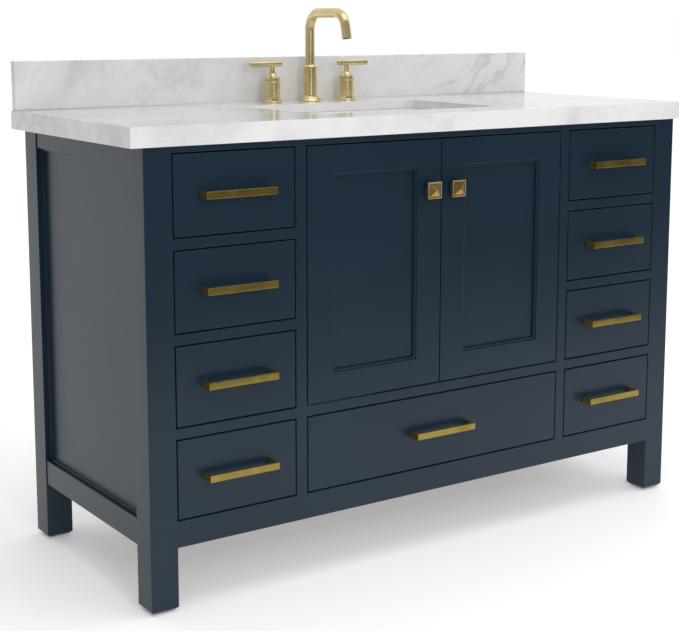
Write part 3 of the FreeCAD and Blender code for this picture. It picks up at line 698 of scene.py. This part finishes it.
def drain(y, floor):
    """Flange and threaded body with its nut and tailpiece, and the domed stopper."""
    centre = (0.0, y, floor)
    thread = [(DRAIN_RADIUS - 0.8 * (step % 2), -19 - step) for step in range(9)]
    body = [(DRAIN_BORE, -3), (DRAIN_BORE + 3, 0), (DRAIN_BORE + 3, 2), (20, 2.2), (23, 1.2),
            (DRAIN_FLANGE, 0), (DRAIN_RADIUS, 0), (DRAIN_RADIUS, -8), (DRAIN_NUT, -8), (DRAIN_NUT, -17),
            (DRAIN_RADIUS, -17)]
    body += thread
    body += [(DRAIN_RADIUS, -50), (18, -50), (18, -54), (TAILPIECE, -56), (TAILPIECE, -180),
             (TAILPIECE_BORE, -180), (TAILPIECE_BORE, -50), (DRAIN_BORE, -50)]
    bm = bmesh.new()
    turned(bm, body, centre, closed=True)
    brass_piece("drain_fitting", bm, "cabinet", "drain_body", 0.3 * MM, angle=30)
    plug = [(0, -27.6), (4, -27.6), (4, 2.4), (19, 2.4), (20, 3.4), (19, 5.4), (12, 6.6), (5, 7.1), (0, 7.2)]
    bm = bmesh.new()
    turned(bm, plug, centre)
    brass_piece("lift_plug", bm, "stopper", "drain_stopper", 0.4 * MM, angle=30)


def silicone_bead():
    """Thin fillet of sealant where the backsplash meets the slab."""
    low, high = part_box("backsplash")
    size, short = 2.2 * MM, 2 * MM
    outline = [(0.0, 0.0), (-size, 0.0), (-1.2 * MM, 0.45 * MM), (-0.45 * MM, 1.2 * MM), (0.0, size)]
    bm = bmesh.new()
    ends = []
    for x in (low.x + short, high.x - short):
        ends.append([bm.verts.new((x, low.y + u, low.z + v)) for u, v in outline])
    join_rings(bm, ends)
    bm.faces.new(ends[0])
    bm.faces.new(ends[1])
    piece("splash_sealant", finished(bm, "splash_sealant"), "cabinet", [SILICONE])


def top():
    dress("countertop", TOP_STONE, 1.8 * MM, 3)
    dress("backsplash", SPLASH_STONE, 1.5 * MM, 3)
    silicone_bead()
    drain(*basin())


# ---- Faucet ----
def faucet_bodies(y, z):
    """Flared spout body and two valve bodies, with threaded shanks and nuts under the slab."""
    thread_start, threads, pitch = -SLAB - 43, 12, 2
    nut = 8
    under = [(0, -SLAB - 45), (SHANK - 0.85, -SLAB - 45), (SHANK, -SLAB - 44)]
    for turn in range(threads):
        start = thread_start + pitch * turn
        under += [(SHANK, start), (SHANK - 0.8, start + pitch / 2)]
    under += [(SHANK, -SLAB - nut), (SHANK + 6, -SLAB - nut), (SHANK + 6, -SLAB), (SHANK, -SLAB)]
    under.append((SHANK, 0))
    valve = under + [(22, 0), (22, 2), (21, 3), (19.6, 6), (18.6, 9), (HANDLE_R, 11), (HANDLE_R, 46.5),
                     (HANDLE_R - 0.6, 47.0), (HANDLE_R - 0.6, 47.8), (HANDLE_R, 48.3), (HANDLE_R, 50),
                     (HANDLE_R - 1, 51), (0, 51)]
    stand = under + [(24.5, 0), (24.5, 1.6), (23.5, 2.8), (21.2, 6.5), (19.0, 10), (17.4, 13), (16, 16),
                     (16, 79), (12.6, 84), (0, 84)]
    bm = bmesh.new()
    for place, outline in ((-1, valve), (0, stand), (1, valve)):
        turned(bm, outline, (place * HANDLE_SPACING * MM, y, z), segments=72)
    brass_piece("faucet_bodies", bm, "cabinet", "faucet_bases", 0.35 * MM)


def spout_stations(y, z, outlet, back_up):
    """Middle and direction of the spout's tube from its foot to its outlet."""
    bend = SPOUT_BEND * MM
    top = z + (SPOUT_HEIGHT - SPOUT_R) * MM
    turn = math.pi / 2 - SPOUT_LEAN
    leg = (top - bend + bend * math.cos(turn) - outlet.z) / back_up.z
    bend_end = outlet + back_up * leg
    first = Vector((0.0, y - bend, top - bend))
    second = Vector((0.0, bend_end.y + bend * math.sin(turn), top - bend))
    stations = [(Vector((0.0, y, z + SPOUT_BASE * MM)), Vector((0, 0, 1)))]
    for step in range(17):
        angle = step / 16 * math.pi / 2
        outward = Vector((0, math.cos(angle), math.sin(angle)))
        stations.append((first + outward * bend, Vector((0, -math.sin(angle), math.cos(angle)))))
    for step in range(17):
        angle = step / 16 * turn
        outward = Vector((0, -math.sin(angle), math.cos(angle)))
        stations.append((second + outward * bend, Vector((0, -math.cos(angle), -math.sin(angle)))))
    return stations + [(outlet, -back_up)]


def gooseneck(y, z):
    """Bent tube with a recessed aerator in its end."""
    outlet = Vector((0.0, y - SPOUT_REACH * MM, z + SPOUT_OUTLET * MM))
    back_up = Vector((0.0, math.sin(SPOUT_LEAN), math.cos(SPOUT_LEAN)))
    bm = bmesh.new()

    def ring(centre, along, radius):
        across = Vector((1, 0, 0))
        return circle(bm, centre, across, along.cross(across), radius * MM, 56)

    def at_outlet(depth, radius):
        """Ring or point inside the outlet, at a depth in mm."""
        centre = outlet + back_up * depth * MM
        return ring(centre, -back_up, radius) if radius else [bm.verts.new(centre)]

    stations = spout_stations(y, z, outlet, back_up)
    rings = [[bm.verts.new(stations[0][0])]] + [ring(centre, along, SPOUT_R) for centre, along in stations]
    rings += [at_outlet(depth, radius) for depth, radius in ((0.0, 9.0), (5.9, 9.0), (5.9, 0))]
    join_rings(bm, rings)
    metal_faces = len(bm.faces)
    screen = ((5.5, 0), (5.5, 8.7), (1.0, 8.7), (1.0, 7.4), (1.8, 7.2), (1.8, 3.5), (1.3, 3.3), (1.3, 0))
    join_rings(bm, [at_outlet(depth, radius) for depth, radius in screen])
    bm.faces.ensure_lookup_table()
    for face in bm.faces[metal_faces:]:
        face.material_index = 1
    brass_piece("gooseneck_spout", bm, "spout", "spout", 0.4 * MM, (FAUCET_METAL, NYLON))


def cross_lever(side, y, z):
    """Ring and flared neck under a cross bar with rounded ends."""
    sign = SIDES[side]
    x = sign * HANDLE_SPACING * MM
    neck = [(0, 51.4), (HANDLE_R - 1, 51.4), (HANDLE_R, 52.4), (HANDLE_R, 56.4), (HANDLE_R - 2, 57.9),
            (12.4, 60), (9.6, 62.8), (7.8, 65.6), (6.6, 68.6), (LEVER_R, 71), (LEVER_R, 83), (0, 83)]
    bar = [(0, -25), (3.4, -25), (5.0, -24.2), (5.8, -22.8), (LEVER_R, -21.2),
           (LEVER_R, 55.2), (5.8, 56.8), (5.0, 58.2), (3.4, 59), (0, 59)]
    bm = bmesh.new()
    turned(bm, neck, (x, y, z), segments=56)
    turned(bm, bar, (x, y, z + LEVER_HEIGHT * MM), "X" if sign > 0 else "-X", segments=48)
    brass_piece(side + "_cross_lever", bm, side + "_lever", side + "_lever", 0.3 * MM)


def faucet():
    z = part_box("countertop")[1].z
    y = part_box("spout")[1].y - SPOUT_R * MM
    faucet_bodies(y, z)
    gooseneck(y, z)
    for side in SIDES:
        cross_lever(side, y, z)


# ---- Stage ----
def pale_floor():
    bm = bmesh.new()
    bmesh.ops.create_grid(bm, x_segments=1, y_segments=1, size=30.0)
    floor = bpy.data.objects.new("floor", finished(bm, "floor", False))
    bpy.context.scene.collection.objects.link(floor)
    pale = Shader("pale_floor", (0.93, 0.93, 0.93), 0.6, specular=0.2)
    pale.surface.inputs["Emission Color"].default_value = (1.0, 1.0, 1.0, 1.0)
    pale.surface.inputs["Emission Strength"].default_value = FLOOR_GLOW
    pale.bump(pale.noise(120.0, 2.0), 0.0001, 0.1)
    floor.data.materials.append(pale.material)


def studio():
    """A pale dome that lights the object, in front of a white backdrop."""
    world = bpy.data.worlds.new("studio")
    bpy.context.scene.world = world
    world.use_nodes = True
    tree = world.node_tree
    dome = tree.nodes["Background"]
    dome.inputs["Color"].default_value = (1.0, 1.0, 1.0, 1.0)
    dome.inputs["Strength"].default_value = DOME
    backdrop = tree.nodes.new("ShaderNodeBackground")
    backdrop.inputs["Color"].default_value = (1.0, 1.0, 1.0, 1.0)
    seen = tree.nodes.new("ShaderNodeLightPath")
    choice = tree.nodes.new("ShaderNodeMixShader")
    tree.links.new(seen.outputs["Is Camera Ray"], choice.inputs[0])
    tree.links.new(dome.outputs[0], choice.inputs[1])
    tree.links.new(backdrop.outputs[0], choice.inputs[2])
    tree.links.new(choice.outputs[0], tree.nodes["World Output"].inputs["Surface"])


def softbox(name, place, target, size, power, mirrored=True):
    """Rectangular lamp that points at a target."""
    data = bpy.data.lights.new(name, "AREA")
    data.shape = "RECTANGLE"
    data.size, data.size_y = size
    data.energy = power
    light = bpy.data.objects.new(name, data)
    light.location = place
    light.rotation_euler = (Vector(target) - Vector(place)).to_track_quat("-Z", "Y").to_euler()
    light.visible_glossy = mirrored
    bpy.context.scene.collection.objects.link(light)


def flag(name, place, size, turn, tone, soaks=False):
    """Dark upright card that shiny pieces reflect; where it soaks, it also takes light from dull ones."""
    bm = bmesh.new()
    bmesh.ops.create_grid(bm, x_segments=1, y_segments=1, size=0.5)
    bmesh.ops.rotate(bm, verts=bm.verts, matrix=Matrix.Rotation(math.pi / 2, 3, "X"))
    bmesh.ops.scale(bm, verts=bm.verts, vec=(size[0], 1.0, size[1]))
    card = bpy.data.objects.new(name, finished(bm, name, False))
    card.location = place
    card.rotation_euler = (0.0, 0.0, turn)
    bpy.context.scene.collection.objects.link(card)
    card.visible_camera = False
    card.visible_shadow = False
    card.visible_diffuse = soaks
    cloth = Shader(name + "_cloth", (tone, tone, 1.05 * tone), 0.9)
    card.data.materials.append(cloth.material)


def stage():
    """Pale floor, soft studio light, and flags that darken what the lacquer and the brass reflect."""
    pale_floor()
    studio()
    softbox("overhead", (0.3, -0.9, 3.4), (0.0, -0.2, 0.4), (2.4, 1.8), 20.0)
    softbox("front_box", (-0.7, -3.8, 2.2), (0.0, 0.0, 0.6), (1.6, 1.6), 20.0, False)
    softbox("strip", (-0.8, -3.2, 1.5), (0.0, 0.2, 1.0), (0.10, 1.2), 10.0)
    flag("front_flag", (2.0, -1.75, 2.0), (9.0, 4.0), 0.0, 0.02)
    flag("left_flag", (-2.6, 0.4, 1.8), (4.6, 2.4), math.pi / 2, 0.30, True)


def camera():
    """Three-quarter view from the front left, a little above the top."""
    data = bpy.data.cameras.new("camera")
    data.lens = 75.8
    data.shift_y = -0.12
    view = bpy.data.objects.new("camera", data)
    view.location = (-1.8021, -2.5465, 1.1027)
    view.rotation_euler = (math.pi / 2 - 0.1495, 0.0, -0.5965)
    bpy.context.scene.collection.objects.link(view)
    bpy.context.scene.camera = view
    bpy.context.scene.view_settings.view_transform = "Standard"


carcass()
drawers()
doors()
top()
faucet()
stage()
camera()
